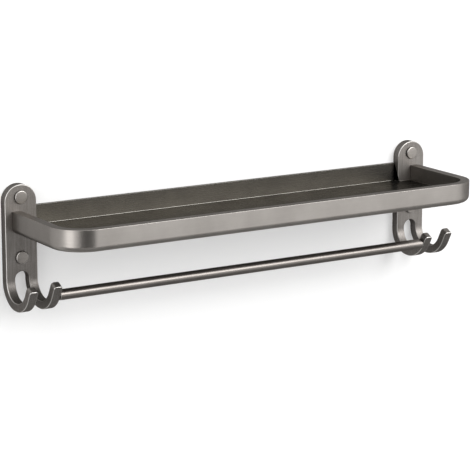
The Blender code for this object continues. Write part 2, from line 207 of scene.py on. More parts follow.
pieceShading = dict(creaseAngle=radians(32), flatWeight=50)


def finishPiece(item, material, nodes):
    # one material, creases kept, long faces kept flat, and the CAD nodes that it stands for
    item.data.materials.clear()
    item.data.materials.append(material)
    item.data.shade_smooth()
    item.data.set_sharp_from_angle(angle=pieceShading["creaseAngle"])
    weighted = item.modifiers.new("flat faces", "WEIGHTED_NORMAL")
    weighted.keep_sharp = True
    weighted.weight = pieceShading["flatWeight"]
    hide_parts(*nodes)
    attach(item, "root")
    print(item.name, len(item.data.polygons), "faces")
    return item


# Small helpers for node trees

# a Mix node's inputs A and B and its result, by number, because their names repeat
numberA, numberB, colourA, colourB, colourResult = 2, 3, 6, 7, 2


def hexColour(code):
    # sRGB hex to the linear values that shaders work in
    channels = [int(code[i:i + 2], 16) / 255 for i in (1, 3, 5)]
    return [c / 12.92 if c <= 0.04045 else ((c + 0.055) / 1.055) ** 2.4 for c in channels] + [1]


def addNode(tree, kind, inputs=None, **settings):
    # a node with its settings, and its inputs filled by a value or by a link
    node = tree.nodes.new(kind)
    for name, value in settings.items():
        setattr(node, name, value)
    for name, value in (inputs or {}).items():
        if isinstance(value, bpy.types.NodeSocket):
            tree.links.new(value, node.inputs[name])
        else:
            node.inputs[name].default_value = value
    return node


def newMaterial(name):
    material = bpy.data.materials.new(name)
    material.use_nodes = True
    material.node_tree.nodes.clear()
    return material


# Finishes

# Gunmetal anodised aluminium, blasted or brushed and then dyed: a warm mid grey metal whose grain
# scatters highlights into soft gradients, and that mirrors clearly only at a grazing angle.
gunmetal = dict(
    colour="#B0ABA7", shade="#A5A09C", dyeLow=0.38, dyeHigh=0.62, cloud=38 * mm, speckle=0.3,
    # the lighter colour on rounded rims is partly wear and partly a painted highlight
    edgeColour="#D9D5D1", edgeRoughness=0.24, edgeWear=0.8, lessWearAndHighlight=0.25, moreWearAndHighlight=0.2, edgeTint=0.3,
    roughness=0.34, roughnessSwing=0.10, grain=0.9 * mm, grainDepth=0.004 * mm,
    streakLength=90 * mm, streakWidth=1.6 * mm, streakDepth=0.0015 * mm)


def gunmetalMaterial(name, streaks="X", **changes):
    look = dict(gunmetal, **changes)
    material = newMaterial(name)
    tree = material.node_tree
    coordinates = addNode(tree, "ShaderNodeTexCoord")
    clouds = addNode(tree, "ShaderNodeTexNoise", {
        "Vector": coordinates.outputs["Object"], "Scale": 1 / look["cloud"], "Detail": 3, "Roughness": 0.6})
    # the blasted grain is drawn coarser than its real 0.1 mm, so that it shows
    grain = addNode(tree, "ShaderNodeTexNoise", {
        "Vector": coordinates.outputs["Object"], "Scale": 1 / look["grain"], "Detail": 2, "Roughness": 0.7})
    along, across = 1 / look["streakLength"], 1 / look["streakWidth"]
    if streaks == "rail":
        # brushing follows the bent bar, so it reads the distances along and around it
        lengthwise = addNode(tree, "ShaderNodeAttribute", attribute_name="alongRail")
        around = addNode(tree, "ShaderNodeAttribute", attribute_name="aroundRail")
        source = addNode(tree, "ShaderNodeCombineXYZ", {
            "X": lengthwise.outputs["Fac"], "Y": around.outputs["Fac"]}).outputs[0]
        scale = (along, across, 1)
    else:
        source = coordinates.outputs["Object"]
        scale = (along, across, across) if streaks == "X" else (across, across, along)
    stretched = addNode(tree, "ShaderNodeMapping", {"Vector": source, "Scale": scale})
    brushing = addNode(tree, "ShaderNodeTexNoise", {
        "Vector": stretched.outputs[0], "Scale": 1, "Detail": 4, "Roughness": 0.65})
    # the dye takes unevenly in clouds, along the brushing and from grain to grain
    streaked = addNode(tree, "ShaderNodeMix", {
        "Factor": 0.5, numberA: grain.outputs["Fac"], numberB: brushing.outputs["Fac"]},
        data_type="FLOAT")
    patchy = addNode(tree, "ShaderNodeMix", {
        "Factor": look["speckle"], numberA: clouds.outputs["Fac"], numberB: streaked.outputs[0]},
        data_type="FLOAT")
    dyed = addNode(tree, "ShaderNodeMapRange", {
        "Value": patchy.outputs[0], "From Min": look["dyeLow"], "From Max": look["dyeHigh"]})
    colour = addNode(tree, "ShaderNodeMix", {
        "Factor": dyed.outputs[0], colourA: hexColour(look["colour"]), colourB: hexColour(look["shade"])},
        data_type="RGBA")
    roughness = addNode(tree, "ShaderNodeMapRange", {
        "Value": brushing.outputs["Fac"], "From Min": 0.25, "From Max": 0.75,
        "To Min": look["roughness"] - look["roughnessSwing"] / 2,
        "To Max": look["roughness"] + look["roughnessSwing"] / 2})
    # handled edges lose some dye and shine, unevenly; the same lighter edge colour also paints a highlight
    # along the rims
    edge = addNode(tree, "ShaderNodeAttribute", attribute_name="edgeShare")
    uneven = addNode(tree, "ShaderNodeMapRange", {
        "Value": grain.outputs["Fac"], "From Min": 0.2, "From Max": 0.8,
        "To Min": look["edgeWear"] - look["lessWearAndHighlight"], "To Max": look["edgeWear"] + look["moreWearAndHighlight"]})
    wornAndHighlit = addNode(tree, "ShaderNodeMath", {0: edge.outputs["Fac"], 1: uneven.outputs[0]},
                   operation="MULTIPLY", use_clamp=True)
    colour = addNode(tree, "ShaderNodeMix", {
        "Factor": wornAndHighlit.outputs[0], colourA: colour.outputs[colourResult],
        colourB: hexColour(look["edgeColour"])}, data_type="RGBA")
    roughness = addNode(tree, "ShaderNodeMix", {
        "Factor": wornAndHighlit.outputs[0], numberA: roughness.outputs[0], numberB: look["edgeRoughness"]},
        data_type="FLOAT")
    grainBump = addNode(tree, "ShaderNodeBump", {
        "Height": grain.outputs["Fac"], "Distance": look["grainDepth"], "Strength": 1})
    streakBump = addNode(tree, "ShaderNodeBump", {
        "Height": brushing.outputs["Fac"], "Distance": look["streakDepth"], "Strength": 1,
        "Normal": grainBump.outputs[0]})
    tint = look["edgeTint"]
    metal = addNode(tree, "ShaderNodeBsdfPrincipled", {
        "Base Color": colour.outputs[colourResult], "Metallic": 1, "Roughness": roughness.outputs[0],
        "Specular Tint": (tint, tint, tint, 1), "Normal": streakBump.outputs[0]})
    addNode(tree, "ShaderNodeOutputMaterial", {"Surface": metal.outputs[0]})
    return material


# Zinc-plated steel, bright and a little blue, with a fine mottle from the plating bath.
zinc = dict(colour="#C9CBCC", shade="#B4B7BA", roughness=0.28, roughnessSwing=0.12, mottle=0.8 * mm)


def zincMaterial():
    look = zinc
    material = newMaterial("zinc plated steel")
    tree = material.node_tree
    coordinates = addNode(tree, "ShaderNodeTexCoord")
    mottle = addNode(tree, "ShaderNodeTexNoise", {
        "Vector": coordinates.outputs["Object"], "Scale": 1 / look["mottle"], "Detail": 4})
    colour = addNode(tree, "ShaderNodeMix", {
        "Factor": mottle.outputs["Fac"], colourA: hexColour(look["colour"]),
        colourB: hexColour(look["shade"])}, data_type="RGBA")
    roughness = addNode(tree, "ShaderNodeMapRange", {
        "Value": mottle.outputs["Fac"], "From Min": 0.3, "From Max": 0.7,
        "To Min": look["roughness"] - look["roughnessSwing"] / 2,
        "To Max": look["roughness"] + look["roughnessSwing"] / 2})
    metal = addNode(tree, "ShaderNodeBsdfPrincipled", {
        "Base Color": colour.outputs[colourResult], "Metallic": 1, "Roughness": roughness.outputs[0]})
    addNode(tree, "ShaderNodeOutputMaterial", {"Surface": metal.outputs[0]})
    return material


# blasted: matt and finely grained, with light lines on the rims, partly wear and partly painted highlight
castMetal = gunmetalMaterial("gunmetal anodised aluminium, blasted", streaks="Z", colour="#989490",
                             shade="#7A7571", edgeColour="#F0EDE9", edgeRoughness=0.34, edgeWear=1.0,
                             roughness=0.48, grainDepth=0.008 * mm, speckle=0.75, streakLength=24 * mm,
                             streakWidth=1.2 * mm, streakDepth=0.003 * mm)
# brushed along the bar: smooth broad highlights, and fine streaks that follow the bends
railMetal = gunmetalMaterial("gunmetal anodised aluminium, brushed", streaks="rail", colour="#B0ABA6",
                             shade="#A49F9A", edgeColour="#BBB7B2", edgeWear=0.25, roughness=0.32)
# rolled sheet: even and darker, and it mirrors the rail and the wall dimly
sheetMetal = gunmetalMaterial("gunmetal anodised sheet", colour="#898680", shade="#7F7C77",
                              edgeColour="#96938E", edgeWear=0.3, edgeTint=0.24, roughness=0.27,
                              roughnessSwing=0.03, grainDepth=0.001 * mm, streakDepth=0.0002 * mm)
# drawn through a die: faint lines along the bar and one long highlight
barMetal = gunmetalMaterial("gunmetal anodised bar, drawn", colour="#8A8581", shade="#807B77",
                            roughness=0.35, grainDepth=0.003 * mm, streakDepth=0.001 * mm)
# turned and tumbled: a little lighter than the plates, with the same soft grain
capMetal = gunmetalMaterial("gunmetal anodised cap, turned", colour="#A5A09B", shade="#938E89",
                            roughness=0.42, grainDepth=0.006 * mm, speckle=0.6)
plating = zincMaterial()
print("finishes made")


# Brackets: a thick plate with a round head whose foot is slotted and bent into two hooks

bracketSizes = dict(
    width=33.6 * mm, thickness=10.0 * mm, rimRound=0.8 * mm, rimSteps=4, slotWidth=15.0 * mm,
    slotTop=-49.1 * mm, bendStart=-56.9 * mm, hookThickness=8.4 * mm, backBend=22.4 * mm,
    hookFlat=2.1 * mm, frontBend=26.9 * mm, bendAngle=radians(62), leg=10.2 * mm,
    rightLegExtra=2.7 * mm, splay=0.9 * mm, tipCorner=3.0 * mm, bendStep=radians(3), legRows=3,
    headSteps=56, slotSteps=36, tipSteps=8, slotWearAndHighlight=0.2, slotDimmedReach=22.4 * mm)


def easedShare(value):
    share = min(max(value, 0), 1)
    return share * share * (3 - 2 * share)


def hookPoint(across, down, offset):
    # a point of the flat blank after bending: down is measured below the start of the bend,
    # offset runs from the blank's room side (minus) to its wall side (plus)
    size = bracketSizes
    thickness, radius, front = size["thickness"], size["backBend"], size["frontBend"]
    middle = -thickness / 2
    backEnd = radius * quarterTurn
    frontStart = backEnd + size["hookFlat"]
    bottom = size["bendStart"] - radius
    if down <= 0:
        y, z, normal = middle, size["bendStart"] - down, (1, 0)
    elif down <= backEnd:
        angle = down / radius
        y, z = middle - radius * (1 - cos(angle)), size["bendStart"] - radius * sin(angle)
        normal = (cos(angle), -sin(angle))
    elif down <= frontStart:
        y, z, normal = middle - radius - (down - backEnd), bottom, (0, -1)
    else:
        angle = min((down - frontStart) / front, size["bendAngle"])
        straight = down - frontStart - front * angle
        y = middle - radius - size["hookFlat"] - front * sin(angle) - straight * cos(angle)
        z = bottom + front * (1 - cos(angle)) + straight * sin(angle)
        normal = (-sin(angle), -cos(angle))
    eased = easedShare(down / backEnd)
    offset -= copysign((thickness - size["hookThickness"]) * eased / 2, offset)
    if across > 0:
        across += size["splay"] * eased
    return Vector((across, y + normal[0] * offset, z + normal[1] * offset))


def bendRows():
    # distances below the start of the bend that get a row of points
    size = bracketSizes
    backEnd = size["backBend"] * quarterTurn
    frontStart = backEnd + size["hookFlat"]
    frontLength = size["frontBend"] * size["bendAngle"]
    backSteps = ceil(quarterTurn / size["bendStep"])
    frontSteps = ceil(size["bendAngle"] / size["bendStep"])
    rows = [backEnd * i / backSteps for i in range(backSteps + 1)]
    rows += [frontStart + frontLength * i / frontSteps for i in range(frontSteps + 1)]
    legPlain = size["leg"] - size["tipCorner"]
    return rows + [rows[-1] + legPlain * i / size["legRows"] for i in range(1, size["legRows"])]


def bracketBody(centreX, plateTop):
    size = bracketSizes
    half, slotHalf, corner = size["width"] / 2, size["slotWidth"] / 2, size["tipCorner"]
    rows = bendRows()
    legEnd = size["backBend"] * quarterTurn + size["hookFlat"] + size["frontBend"] * size["bendAngle"]
    tips = {-1: -(legEnd + size["leg"]), 1: -(legEnd + size["leg"] + size["rightLegExtra"])}
    outline, parts = [], {}

    def add(part, points):
        parts[part] = list(range(len(outline), len(outline) + len(points)))
        outline.extend(Vector(point) for point in points)

    def tipArcs(side):
        left, right = (-half, -slotHalf) if side < 0 else (slotHalf, half)
        up = tips[side] + corner
        arcs = arcPoints((left + corner, up), corner, pi, pi + quarterTurn, size["tipSteps"])
        return arcs + arcPoints((right - corner, up), corner, -quarterTurn, 0, size["tipSteps"])

    add("head", arcPoints((0, plateTop - half - size["bendStart"]), half, 0, pi, size["headSteps"]))
    add("leftOuter", [(-half, -row) for row in rows])
    add("leftTip", tipArcs(-1))
    add("leftInner", [(-slotHalf, -row) for row in reversed(rows)])
    slotCentre = (0, size["slotTop"] - slotHalf - size["bendStart"])
    add("slot", arcPoints(slotCentre, slotHalf, pi, 0, size["slotSteps"]))
    add("rightInner", [(slotHalf, -row) for row in rows])
    add("rightTip", tipArcs(1))
    add("rightOuter", [(half, -row) for row in reversed(rows)])
    parts["leftInner"].reverse()
    parts["rightOuter"].reverse()

    body = bmesh.new()
    rings = []
    rim, thick = size["rimRound"], size["thickness"] / 2
    middle = Vector((centreX, 0, 0))
    # the slot's edges are out of the hand's way, so they take less wear and less of the painted edge
    # highlight
    dimmedEdges = set(parts["slot"] + [k for part in ("leftInner", "rightInner")
                                     for k, row in zip(parts[part], rows) if row < size["slotDimmedReach"]])
    edgeColourScale = [size["slotWearAndHighlight"] if k in dimmedEdges else 1 for k in range(len(outline))]
    for inset, offset, share in rimProfile(-thick, thick, rim, rim, size["rimSteps"]):
        points = [hookPoint(point.x, -point.y, offset) + middle for point in insetOutline(outline, inset)]
        rings.append(addRing(body, points, [share * part for part in edgeColourScale]))
    joinRings(body, rings)
    for ring in (rings[0], rings[-1]):
        plate = parts["head"] + [parts["leftOuter"][0], parts["leftInner"][0]]
        plate += parts["slot"] + [parts["rightInner"][0], parts["rightOuter"][0]]
        body.faces.new([ring[i] for i in plate])
        for side in ("left", "right"):
            outer, inner, tip = parts[side + "Outer"], parts[side + "Inner"], parts[side + "Tip"]
            for i in range(len(rows) - 1):
                body.faces.new([ring[k] for k in (outer[i], outer[i + 1], inner[i + 1], inner[i])])
            first, last = (outer, inner) if side == "left" else (inner, outer)
            body.faces.new([ring[k] for k in [first[-1]] + tip + [last[-1]]])
    return body


# Holes for the fasteners and for the bar's spigots
holeSizes = dict(
    wallHole=5.6 * mm, seat=9.6 * mm, seatDepth=5.0 * mm, railHole=4.6 * mm, railHead=8.0 * mm,
    floorHole=3.6 * mm, floorHead=5.8 * mm, barHole=5.2 * mm, overrun=2.0 * mm, play=0.3 * mm, columns=36)


def fastenerPlaces(prefix, aim):
    # the middle of each fastener's outer end, from its CAD node
    aim = Vector(aim)
    places = []
    for node in sorted(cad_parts):
        if node.startswith(prefix):
            low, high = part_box(node)
            reach = (high - low) / 2
            along = Vector(abs(part) for part in aim).dot(reach)
            places.append((low + high) / 2 + aim * along)
    return places


def plainHole(radius, start, end):
    return turnedBody([(radius, start), (radius, end)], holeSizes["columns"], start, end)


def steppedHole(radius, length, seatRadius, seat):
    size = holeSizes
    rows = [(seatRadius, -size["overrun"]), (seatRadius, seat), (radius, seat), (radius, length)]
    return turnedBody(rows, size["columns"], -size["overrun"], length)


def countersinkHole(radius, headRadius, length):
    over = holeSizes["overrun"]
    rows = [(headRadius + over, -over), (radius, headRadius - radius), (radius, length)]
    return turnedBody(rows, holeSizes["columns"], -over, length)


def makeBracket(name, node, side):
    size = holeSizes
    low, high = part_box(node)
    half = bracketSizes["width"] / 2
    centreX = low.x + half if side < 0 else high.x - bracketSizes["splay"] - half
    item = meshObject(name, bracketBody(centreX, high.z))
    through = bracketSizes["thickness"] + size["overrun"]
    caps = [place for place in fastenerPlaces("screw_cap_", towardsRoom) if place.x * side > 0]
    mouths = [aimed((place.x, -bracketSizes["thickness"], place.z), towardsWall) for place in caps]
    drill(item, steppedHole(size["wallHole"] / 2, through, size["seat"] / 2, size["seatDepth"]), mouths)
    screws = [place for place in fastenerPlaces("rail_screw_", towardsWall) if place.x * side > 0]
    mouths = [aimed((place.x, 0, place.z), towardsRoom) for place in screws]
    drill(item, countersinkHole(size["railHole"] / 2, size["railHead"] / 2, through), mouths)
    # a blind hole for the towel bar's spigot, cut from its bottom out through the prong's inner side
    barLow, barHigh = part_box("towel_bar")
    end = barLow.x if side < 0 else barHigh.x
    mouth = aimed((end, (barLow.y + barHigh.y) / 2, (barLow.z + barHigh.z) / 2), (-side, 0, 0))
    drill(item, plainHole(size["barHole"] / 2, -size["play"], 2 * half), [mouth])
    return finishPiece(item, castMetal, [node])


makeBracket("leftBracket", "left_bracket", -1)
makeBracket("rightBracket", "right_bracket", 1)


# Front rail: a bar bent into a U, swept along its path by Geometry Nodes

railSizes = dict(
    thickness=9.5 * mm, cornerRadius=35 * mm, cornerSteps=40, lowerRound=6.0 * mm, topRound=0.3 * mm,
    smallRound=0.3 * mm, ledge=6.5 * mm, ledgeThickness=2.6 * mm, roundSteps=6)


def startTree(name, inputs):
    # a Geometry Nodes tree with its named inputs
    tree = bpy.data.node_groups.new(name, "GeometryNodeTree")
    tree.is_modifier = True
    for label, kind in inputs:
        tree.interface.new_socket(label, in_out="INPUT", socket_type="NodeSocket" + kind)
    return tree, addNode(tree, "NodeGroupInput")


def endTree(tree, geometry, finish, name):
    # makes the tree's result real, gives it its material and hands it out
    tree.interface.new_socket(name, in_out="OUTPUT", socket_type="NodeSocketGeometry")
    real = addNode(tree, "GeometryNodeRealizeInstances", {"Geometry": geometry})
    finished = addNode(tree, "GeometryNodeSetMaterial", {"Geometry": real.outputs[0], "Material": finish})
    addNode(tree, "NodeGroupOutput", {name: finished.outputs[0]})
    return tree


def railTree():
    tree, given = startTree("bentRail", (
        ("Path", "Geometry"), ("Corner Radius", "Float"), ("Corner Steps", "Int"), ("Section", "Object"),
        ("Finish", "Material")))
    path = addNode(tree, "GeometryNodeMeshToCurve", {"Mesh": given.outputs["Path"]})
    bent = addNode(tree, "GeometryNodeFilletCurve", {
        "Curve": path.outputs[0], "Count": given.outputs["Corner Steps"],
        "Radius": given.outputs["Corner Radius"]}, mode="POLY")
    level = addNode(tree, "GeometryNodeSetCurveNormal", {"Curve": bent.outputs[0]}, mode="Z_UP")
    distance = addNode(tree, "GeometryNodeSplineParameter")
    measured = addNode(tree, "GeometryNodeStoreNamedAttribute", {
        "Geometry": level.outputs[0], "Name": "alongRail", "Value": distance.outputs["Length"]},
        data_type="FLOAT", domain="POINT")
    section = addNode(tree, "GeometryNodeObjectInfo", {"Object": given.outputs["Section"]})
    profile = addNode(tree, "GeometryNodeMeshToCurve", {"Mesh": section.outputs["Geometry"]})
    swept = addNode(tree, "GeometryNodeCurveToMesh", {
        "Curve": measured.outputs[0], "Profile Curve": profile.outputs[0], "Fill Caps": True})
    return endTree(tree, swept.outputs[0], given.outputs["Finish"], "Rail")


def runTree(item, tree, values):
    # sets the tree's inputs by identifier, then turns the result into a plain mesh
    modifier = item.modifiers.new(tree.name, "NODES")
    modifier.node_group = tree
    for socket in tree.interface.items_tree:
        if socket.in_out == "INPUT" and socket.name in values:
            modifier[socket.identifier] = values[socket.name]
    return applyModifiers(item)


def lineObject(name, points, closed):
    mesh = bpy.data.meshes.new(name)
    count = len(points)
    mesh.from_pydata(points, [(i, (i + 1) % count) for i in range(count if closed else count - 1)], [])
    item = bpy.data.objects.new(name, mesh)
    scene.collection.objects.link(item)
    return item


def makeRail():
    size = railSizes
    low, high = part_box("front_rail")
    # the section, measured inwards from the outer face: a flat bar with an inner ledge
    thick, ledgeTop = size["thickness"], low.z + size["ledgeThickness"]
    inner = thick + size["ledge"]
    small, top = size["smallRound"], size["topRound"]
    corners = [(thick, ledgeTop, small), (inner, ledgeTop, small), (inner, low.z, small),
               (0, low.z, size["lowerRound"]), (0, high.z, top), (thick, high.z, top)]
    outline, shares = roundedCorners(corners, size["roundSteps"])
    section = lineObject("railSection", [(-point.x, -point.y, 0) for point in outline], True)
    around, travelled = [], 0
    for i, point in enumerate(outline):
        travelled += (point - outline[i - 1]).length if i else 0
        around.append(travelled)
    section.data.attributes.new("aroundRail", "FLOAT", "POINT").data.foreach_set("value", around)
    # the broad lower rounding takes no edge colour, neither wear nor painted highlight
    broad = size["lowerRound"] / 2
    shares = [0 if point.x < broad and point.y < -broad else share for point, share in zip(outline, shares)]
    section.data.attributes.new("edgeShare", "FLOAT", "POINT").data.foreach_set("value", shares)
    path = [(low.x, high.y, 0), (low.x, low.y, 0), (high.x, low.y, 0), (high.x, high.y, 0)]
    item = lineObject("frontRail", path, False)
    runTree(item, railTree(), {"Corner Radius": size["cornerRadius"], "Corner Steps": size["cornerSteps"],
                               "Section": section, "Finish": railMetal})
    bpy.data.objects.remove(section, do_unlink=True)
    body = bmesh.new()
    body.from_mesh(item.data)
    bmesh.ops.recalc_face_normals(body, faces=body.faces)
    body.to_mesh(item.data)
    body.free()
    hole = holeSizes
    screws = fastenerPlaces("rail_screw_", towardsRoom)
    depth = high.y - screws[0].y + hole["play"]
    ends = [aimed((place.x, high.y, place.z), towardsRoom) for place in screws]
    drill(item, plainHole(hole["railHole"] / 2, -hole["overrun"], depth), ends)
    heads = fastenerPlaces("floor_screw_front", downwards) + fastenerPlaces("floor_screw_side", downwards)
    drillFloorHoles(item, heads)
    return finishPiece(item, railMetal, ["front_rail"])


def drillFloorHoles(item, heads):
    hole = holeSizes
    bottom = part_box("front_rail")[0].z
    top = fastenerPlaces("floor_screw_front", upwards)[0].z + hole["play"]
    mouths = [aimed((place.x, place.y, bottom), upwards) for place in heads]
    drill(item, countersinkHole(hole["floorHole"] / 2, hole["floorHead"] / 2, top - bottom), mouths)


makeRail()


# Tray floor: flat plate inside the rail, notched round the two wall plates

floorSizes = dict(lipRound=0.2 * mm, lowerRound=0.2 * mm, cornerSteps=32, rimSteps=3,
                  lipHeight=0.5 * mm, cove=0.8 * mm, coveSteps=5, wallGap=0.3 * mm, notch=10.3 * mm)


def makeFloor():
    size = floorSizes
    low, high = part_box("tray_floor")
    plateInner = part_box("back_panel")[1].x
    radius = railSizes["cornerRadius"] - railSizes["thickness"] - size["wallGap"]
    steps, cornerY = size["cornerSteps"], low.y + radius
    outline = [Vector((low.x, -size["notch"]))]
    outline += arcPoints((low.x + radius, cornerY), radius, pi, pi + quarterTurn, steps)
    outline += arcPoints((high.x - radius, cornerY), radius, -quarterTurn, 0, steps)
    corners = ((high.x, -size["notch"]), (plateInner, -size["notch"]), (plateInner, high.y),
               (-plateInner, high.y), (-plateInner, -size["notch"]))
    outline += [Vector(corner) for corner in corners]
    # the pressed border rises to a low lip, on a hollow round that catches the light and takes the lighter
    # edge colour, partly a painted highlight; the lip's flat top is as wide as its rounding
    lipTop, cove = high.z + size["lipHeight"], size["cove"]
    profile = rimProfile(low.z, lipTop, size["lowerRound"], size["lipRound"], size["rimSteps"])
    for i in range(size["coveSteps"] + 1):
        angle = quarterTurn * i / size["coveSteps"]
        inset = 2 * size["lipRound"] + cove * (1 - cos(angle))
        profile.append((inset, lipTop - size["lipHeight"] * sin(angle), edgeShareAt(i / size["coveSteps"])))
    item = meshObject("trayFloor", slabBody(outline, profile, lambda x, y, z: (x, y, z)))
    drillFloorHoles(item, fastenerPlaces("floor_screw_", downwards))
    return finishPiece(item, sheetMetal, ["tray_floor"])


makeFloor()


# Back panel: an upstand along the wall with a foot that carries the floor

panelSizes = dict(thickness=3.2 * mm, footThickness=2.6 * mm, topRound=0.2 * mm,
                  smallRound=0.3 * mm, endRound=0.3 * mm, roundSteps=6, rimSteps=3)


def makePanel():
    size = panelSizes
    low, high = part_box("back_panel")
    front, footFront = high.y - size["thickness"], low.y
    footTop, small = low.z + size["footThickness"], size["smallRound"]
    corners = [(footFront, low.z, small), (high.y, low.z, small), (high.y, high.z, small),
               (front, high.z, size["topRound"]), (front, footTop, 0), (footFront, footTop, small)]
    outline, shares = roundedCorners(corners, size["roundSteps"])
    profile = rimProfile(low.x, high.x, size["endRound"], size["endRound"], size["rimSteps"])
    item = meshObject("backPanel", slabBody(outline, profile, lambda y, z, x: (x, y, z), shares))
    drillFloorHoles(item, fastenerPlaces("floor_screw_back", downwards))
    return finishPiece(item, sheetMetal, ["back_panel"])


makePanel()


# Towel bar: drawn round bar with eased ends, turned down to a spigot that stands in each prong

barSizes = dict(endRound=0.6 * mm, endSteps=4, columns=96, spigot=4.62 * mm, spigotLength=5.58 * mm,
                spigotRound=0.3 * mm)


def makeBar():
    size = barSizes
    low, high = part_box("towel_bar")
    radius, length, ease = (high.z - low.z) / 2, high.x - low.x, size["endRound"]
    spigot, shoulder, tipRound = size["spigot"] / 2, size["spigotLength"], size["spigotRound"]
    rims = rimProfile(shoulder, length - shoulder, ease, ease, size["endSteps"])
    rows = [(spigot - tipRound, 0), (spigot, tipRound), (spigot, shoulder)]
    rows += [(radius - inset, height, share) for inset, height, share in rims]
    rows += [(spigot, length - shoulder), (spigot, length - tipRound), (spigot - tipRound, length)]
    body = turnedBody(rows, size["columns"], 0, length)
    place = aimed((low.x, (low.y + high.y) / 2, (low.z + high.z) / 2), (1, 0, 0))
    body.transform(place)
    return finishPiece(meshObject("towelBar", body), barMetal, ["towel_bar"])


makeBar()


# Fasteners: one shape each, set on its places by Geometry Nodes

def fastenerTree():
    tree, given = startTree("setFasteners", (
        ("Places", "Geometry"), ("Fastener", "Object"), ("Turn Seed", "Int"), ("Finish", "Material")))
    aim = addNode(tree, "GeometryNodeInputNamedAttribute", {"Name": "aim"}, data_type="FLOAT_VECTOR")
    # a Random Value node's lowest and highest number and its result, whose names repeat too
    lowest, highest, chosen = 2, 3, 1
    turn = addNode(tree, "FunctionNodeRandomValue", {
        lowest: 0.0, highest: 2 * pi, "Seed": given.outputs["Turn Seed"]}, data_type="FLOAT")
    facing = addNode(tree, "FunctionNodeAlignRotationToVector", {
        "Vector": aim.outputs["Attribute"]}, axis="Z")
    spin = addNode(tree, "FunctionNodeAxisAngleToRotation", {
        "Axis": upwards, "Angle": turn.outputs[chosen]})
    rotation = addNode(tree, "FunctionNodeRotateRotation", {
        "Rotation": facing.outputs[0], "Rotate By": spin.outputs[0]}, rotation_space="LOCAL")
    shape = addNode(tree, "GeometryNodeObjectInfo", {"Object": given.outputs["Fastener"]})
    placed = addNode(tree, "GeometryNodeInstanceOnPoints", {
        "Points": given.outputs["Places"], "Instance": shape.outputs["Geometry"],
        "Rotation": rotation.outputs[0]})
    return endTree(tree, placed.outputs[0], given.outputs["Finish"], "Fasteners")


setFasteners = fastenerTree()


def makeFasteners(name, prefix, aim, body, material, seed):
    # the shape's head faces local +Z with its outer end at height zero
    shape = meshObject(name + "Shape", body)
    places = [tuple(place) for place in fastenerPlaces(prefix, aim)]
    mesh = bpy.data.meshes.new(name)
    mesh.from_pydata(places, [], [])
    aims = [part for _ in places for part in aim]
    mesh.attributes.new("aim", "FLOAT_VECTOR", "POINT").data.foreach_set("vector", aims)
    item = bpy.data.objects.new(name, mesh)
    scene.collection.objects.link(item)
    runTree(item, setFasteners, {"Fastener": shape, "Turn Seed": seed, "Finish": material})
    bpy.data.objects.remove(shape, do_unlink=True)
    nodes = [node for node in sorted(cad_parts) if node.startswith(prefix)]
    return finishPiece(item, material, nodes)


capSizes = dict(edgeRound=0.9 * mm, roundSteps=6, height=2.2 * mm, plug=9.0 * mm, plugLength=1.2 * mm,
                wall=0.8 * mm, columns=96, crown=0.12 * mm, faceRings=4, undercut=0.7 * mm,
                undercutHeight=0.6 * mm, turnSeed=3)


def capBody(radius):
    # snap cap: a hardly crowned disc with a rounded edge, an undercut that leaves a shadow line
    # on the plate, and a hollow plug behind it
    size = capSizes
    back, ease, plug = -size["height"], size["edgeRound"], size["plug"] / 2
    flat = radius - ease
    face = [(flat * i / size["faceRings"], -size["crown"] * (i / size["faceRings"]) ** 2)
            for i in range(1, size["faceRings"])]
    edgeAngles = [quarterTurn * i / size["roundSteps"] for i in range(size["roundSteps"] + 1)]
    # the rounded edge takes the lighter edge colour: partly wear, partly a painted highlight
    edge = [(flat + ease * sin(a), -size["crown"] - ease * (1 - cos(a)), sin(2 * a)) for a in edgeAngles]
    bore = plug - size["wall"]
    foot, under = radius - size["undercut"], back + size["undercutHeight"]
    behind = [(radius, under), (foot, under), (foot, back), (plug, back), (plug, back - size["plugLength"]),
              (bore, back - size["plugLength"]), (bore, back)]
    return turnedBody(face + edge + behind, size["columns"], 0, back)


screwSizes = dict(
    columns=36, rowsPerTurn=8, threadShare=0.16, crestWidth=0.35, pointShare=0.12, edgeRound=0.15 * mm,
    socketShare=0.5, socketDepthShare=0.4, panSocketShare=0.6, panSocketDepthShare=0.6,
    crownShares=(0.75, 0.85, 0.93, 1), crownDrop=0.35, neck=4 * mm)
wallScrewSizes = dict(headHeight=2.6 * mm, radius=2.2 * mm, pitch=1.8 * mm, pointLength=5.0 * mm,
                      turnSeed=5)
railScrewSizes = dict(radius=2.0 * mm, pitch=0.7 * mm, turnSeed=7)
floorScrewSizes = dict(radius=1.5 * mm, pitch=0.5 * mm, turnSeed=9)


def hexRow(acrossFlats, height):
    # a ring that follows a hexagon
    def row(angle):
        return acrossFlats / 2 / cos((angle + pi / 6) % (pi / 3) - pi / 6), height
    return row


def coreRadius(radius):
    # what the thread leaves of a screw's radius
    return radius * (1 - 2 * screwSizes["threadShare"])


def threadRows(radius, top, bottom, pitch, pointLength):
    # a helical ridge that fades in below the plain neck and runs out on the point
    size = screwSizes
    core, pointShare = coreRadius(radius), size["pointShare"]
    rowCount = ceil((top - bottom) / pitch * size["rowsPerTurn"])

    def rowAt(height):
        def row(angle):
            turns = (height / pitch + angle / (2 * pi)) % 1
            ridge = max(0, 1 - abs(turns - 0.5) / size["crestWidth"])
            fadeIn = min(1, (top - height) / pitch)
            taper = min(1, (height - bottom) / pointLength) if pointLength else 1
            share = pointShare + (1 - pointShare) * taper
            return (core + (radius - core) * ridge * fadeIn) * share, height
        return row
    return [rowAt(top + (bottom - top) * i / rowCount) for i in range(rowCount + 1)]


